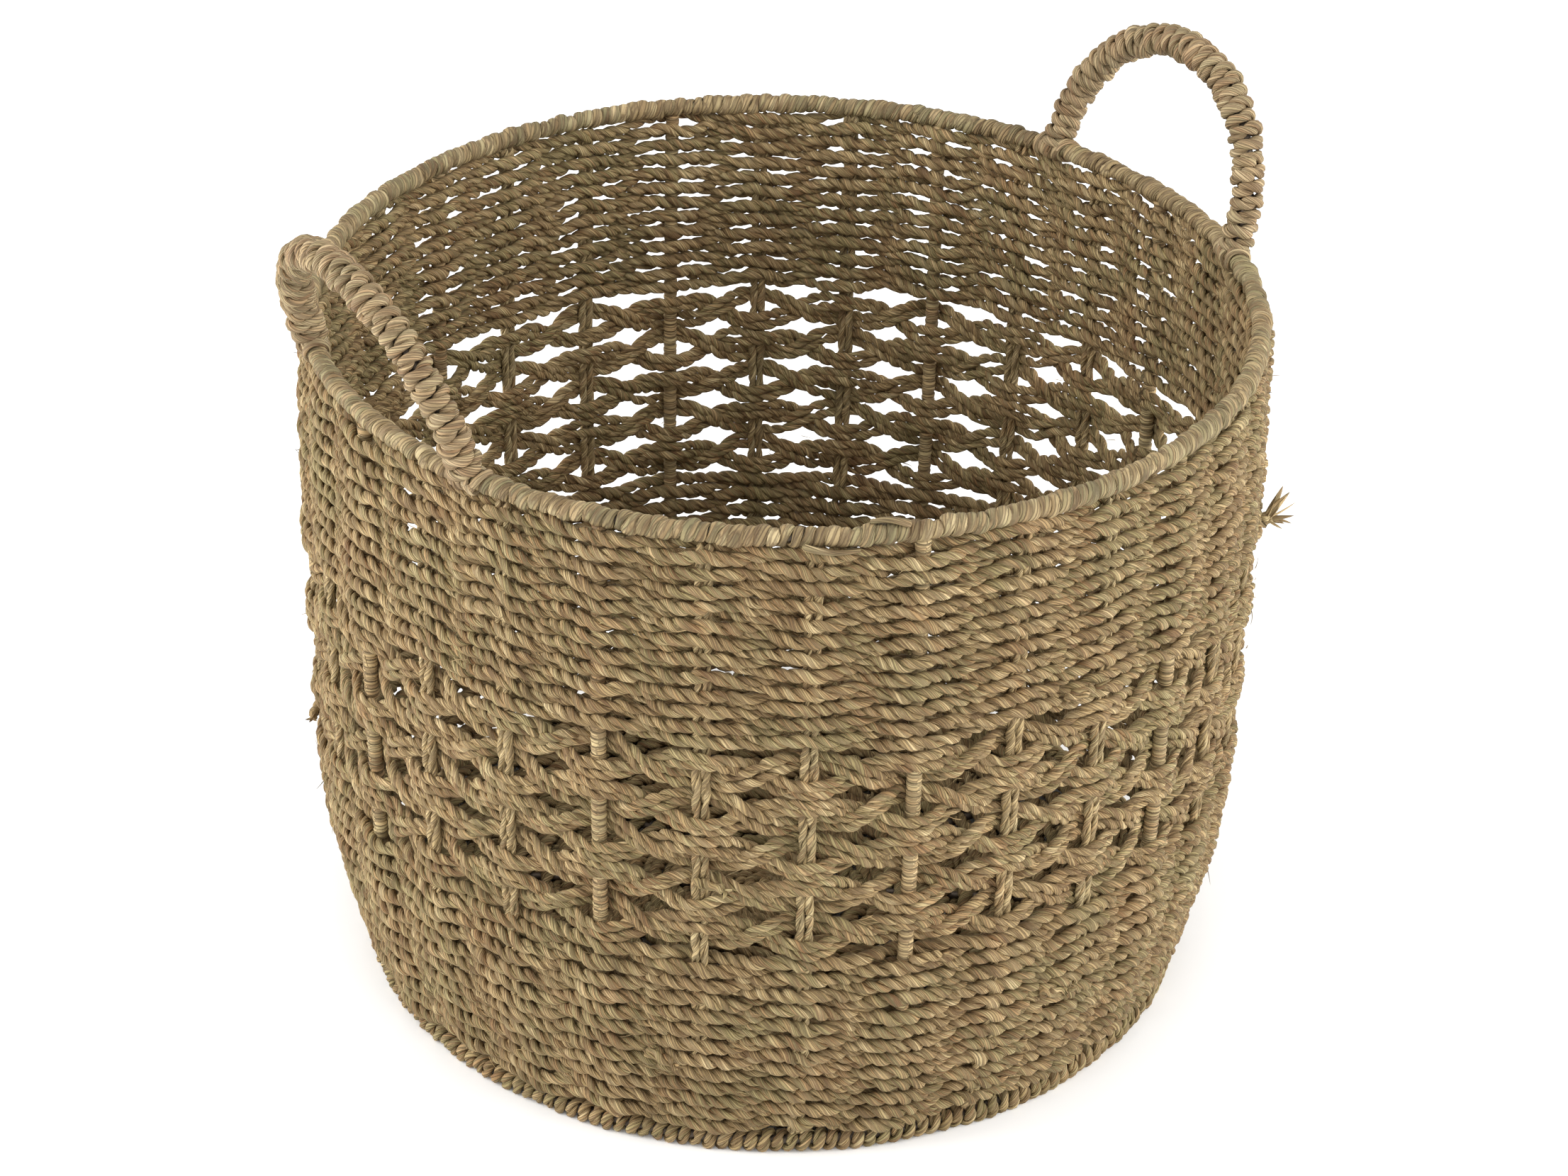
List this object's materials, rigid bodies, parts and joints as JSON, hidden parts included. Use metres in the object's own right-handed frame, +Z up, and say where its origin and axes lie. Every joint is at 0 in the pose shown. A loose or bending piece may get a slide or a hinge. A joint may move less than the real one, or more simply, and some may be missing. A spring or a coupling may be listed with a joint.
{
  "type": "storage basket",
  "caption": "Round woven seagrass storage basket on an iron wire frame, with a wrapped rim, an open lattice band round its middle and wrapped arch handles.",
  "frame": {"origin": "centre of the footprint, on the table the basket stands on", "axes": "+Z up through the open top; the handles stand over +X and -X"},
  "size_m": [0.4258, 0.4056, 0.3775],
  "materials": {
    "iron_wire": "dull, drawn iron wire",
    "ring_wrap": "tightly wound fine seagrass strands, pale tan with grey-green stems",
    "upright_wrap": "flat leaf strip wound round the wire, matt",
    "fibre_cord": "thin twisted cord, grey-green tan",
    "seagrass_rope": "two-ply twisted seagrass rope, khaki brown with lighter and redder strands",
    "handle_wrap": "thick overlapping seagrass wrap, light pinkish tan"
  },
  "bodies": {
    "root": {"rim_wire": "iron_wire", "base_ring_wire": "iron_wire", "upright_wires": "iron_wire", "base_spoke_wires": "iron_wire", "rim_wrap": "ring_wrap", "base_ring_wrap": "ring_wrap", "upright_wire_wraps": "upright_wrap", "cord_uprights": "fibre_cord", "base_spoke_cords": "fibre_cord", "base_centre_coil": "seagrass_rope", "upper_weave_ropes": "seagrass_rope", "lattice_outer_strands": "seagrass_rope", "lattice_inner_strands": "seagrass_rope", "lower_weave_ropes": "seagrass_rope", "base_weave_ropes": "seagrass_rope", "right_handle_wire": "iron_wire", "right_handle_wrap": "handle_wrap", "right_handle_lashings": "handle_wrap", "left_handle_wire": "iron_wire", "left_handle_wrap": "handle_wrap", "left_handle_lashings": "handle_wrap", "loose_rope_end": "seagrass_rope"}
  },
  "joints": []
}
